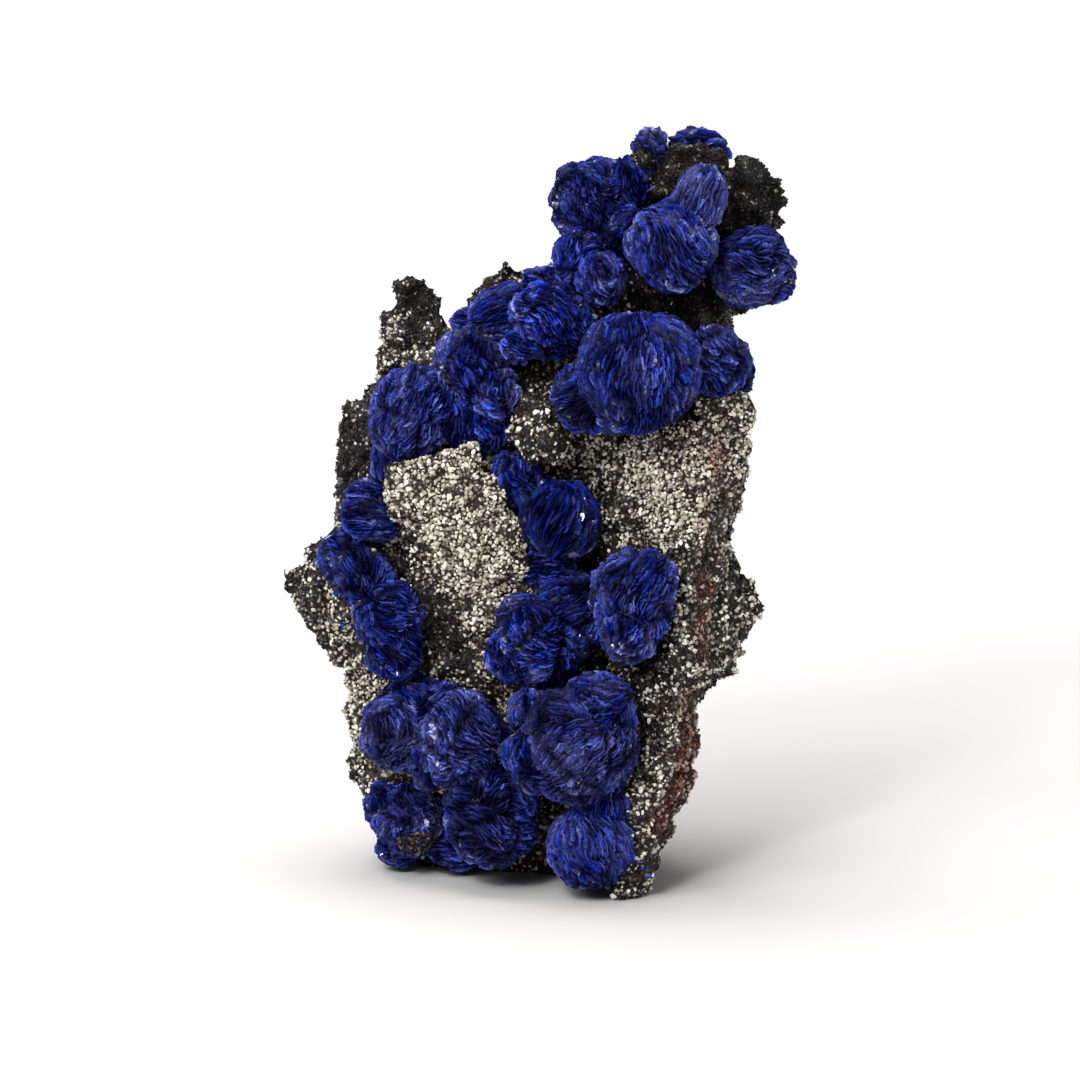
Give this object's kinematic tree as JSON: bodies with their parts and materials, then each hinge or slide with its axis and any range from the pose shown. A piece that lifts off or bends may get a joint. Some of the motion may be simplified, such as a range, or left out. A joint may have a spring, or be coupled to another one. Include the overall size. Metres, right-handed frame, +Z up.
{
  "type": "mineral specimen",
  "caption": "Upright azurite mineral specimen: deep blue rosettes of bladed crystals on a dark, white-crusted lump of matrix rock, cut flat underneath to stand.",
  "frame": {"origin": "middle of the flat break under the rock that the specimen stands on", "axes": "+Z up, -Y towards the front, where most of the rosettes are, +X to the right as seen from the front"},
  "size_m": [0.0431, 0.0294, 0.0634],
  "materials": {
    "matrix": "rough broken rock, near-black with brown stain and a crust of white grains",
    "azurite": "deep ultramarine crystal, satin to glassy, in thin curved blades"
  },
  "bodies": {
    "root": {"matrix_rock": "matrix", "crown_rosettes": "azurite", "fan_rosette": "azurite", "cap_crystal_left": "azurite", "cap_crystal_right": "azurite", "shoulder_rosettes": "azurite", "great_rosette": "azurite", "column_rosettes": "azurite", "side_rosette": "azurite", "foot_rosettes": "azurite", "edge_cone": "azurite", "edge_rosettes": "azurite", "base_rosettes": "azurite", "corner_rosettes": "azurite"}
  },
  "joints": []
}
